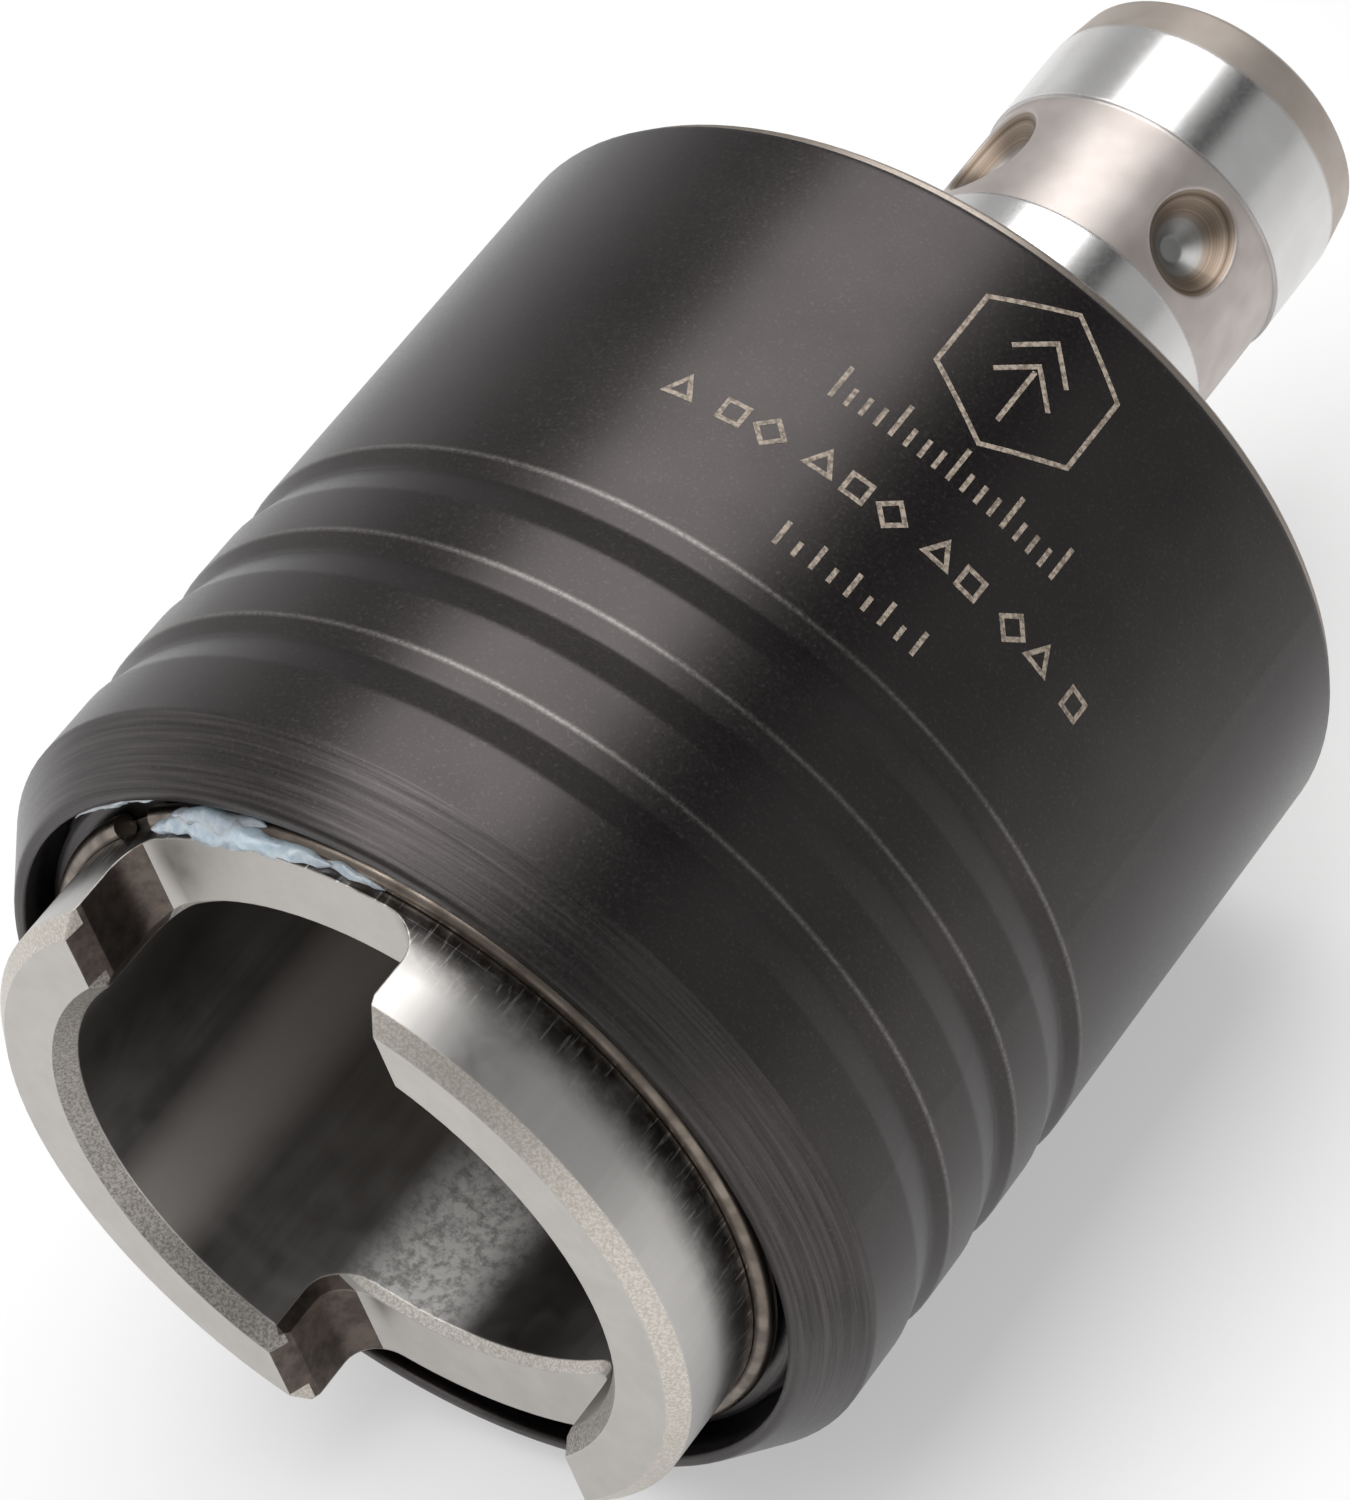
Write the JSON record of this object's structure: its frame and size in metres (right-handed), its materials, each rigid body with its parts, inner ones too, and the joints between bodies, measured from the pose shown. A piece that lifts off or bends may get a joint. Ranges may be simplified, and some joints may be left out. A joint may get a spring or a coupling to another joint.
{
  "type": "quick-change tapping chuck",
  "caption": "Quick-change chuck with a two-claw drive end, insert bore, spring-loaded release sleeve with ball lock, and a plain shank with detent dimples.",
  "frame": {"origin": "on the chuck's axis, where the wall of the insert bore is first whole all round, half a millimetre behind the floor of the drive notches", "axes": "+Y along the chuck's axis from the claws to the shank; the claws stand at +X and -X and the drive notches are at +Z and -Z"},
  "size_m": [0.05, 0.0832, 0.05],
  "materials": {
    "blackened_steel": "satin black oxide on turned steel",
    "spindle_steel": "hardened and ground, matt flats",
    "ground_steel": "cylindrically ground, bright",
    "cover_steel": "turned, faintly straw-coloured",
    "spring_steel": "brown drawn wire",
    "black_fastener": "black oxide",
    "bronze": "plain bearing bronze",
    "ball_steel": "polished bearing ball",
    "rubber": "moulded",
    "felt": "pressed felt",
    "laser_mark": "matt tan laser marking",
    "grease": "white grease, wet"
  },
  "bodies": {
    "root": {"claw_spindle": "spindle_steel", "shank": "ground_steel", "shank_screw": "black_fastener", "lock_washer": "spring_steel", "drive_pins": "ground_steel", "shank_seal": "rubber", "bore_stop_disc": "spindle_steel", "disc_snap_ring": "spring_steel", "front_snap_ring": "spring_steel", "stop_ring": "blackened_steel", "spring_abutment": "spindle_steel", "rear_circlip": "spring_steel", "return_spring": "spring_steel"},
    "seat": {"spring_seat": "spindle_steel", "thrust_washer": "bronze"},
    "sleeve": {"release_sleeve": "blackened_steel", "guide_band": "bronze", "lock_collar": "spindle_steel", "rear_cover": "cover_steel", "wiper_ring": "felt"},
    "ball_a": {"lock_ball_a": "ball_steel"},
    "ball_b": {"lock_ball_b": "ball_steel"},
    "ball_c": {"lock_ball_c": "ball_steel"}
  },
  "joints": [
    {"name": "sleeve_slide", "type": "slide", "parent": "root", "child": "seat", "axis": [0, 1, 0], "range_m": [0, 0.005], "stiffness_N_per_m": 4000, "springref_m": -0.005, "deforming": ["return_spring"]},
    {"name": "sleeve_turn", "type": "hinge", "parent": "seat", "child": "sleeve", "pos_m": [0, 0, 0], "axis": [0, 1, 0], "continuous": true},
    {"name": "ball_a_slide", "type": "slide", "parent": "root", "child": "ball_a", "axis": [1, 0, 0], "range_m": [0, 0.0014]},
    {"name": "ball_b_slide", "type": "slide", "parent": "root", "child": "ball_b", "axis": [-0.5, 0, 0.866], "range_m": [0, 0.0014]},
    {"name": "ball_c_slide", "type": "slide", "parent": "root", "child": "ball_c", "axis": [-0.5, 0, -0.866], "range_m": [0, 0.0014]}
  ],
  "couplings": [
    {"joint": "ball_a_slide", "follows": "sleeve_slide", "ratio": 0.26},
    {"joint": "ball_b_slide", "follows": "sleeve_slide", "ratio": 0.26},
    {"joint": "ball_c_slide", "follows": "sleeve_slide", "ratio": 0.26}
  ]
}
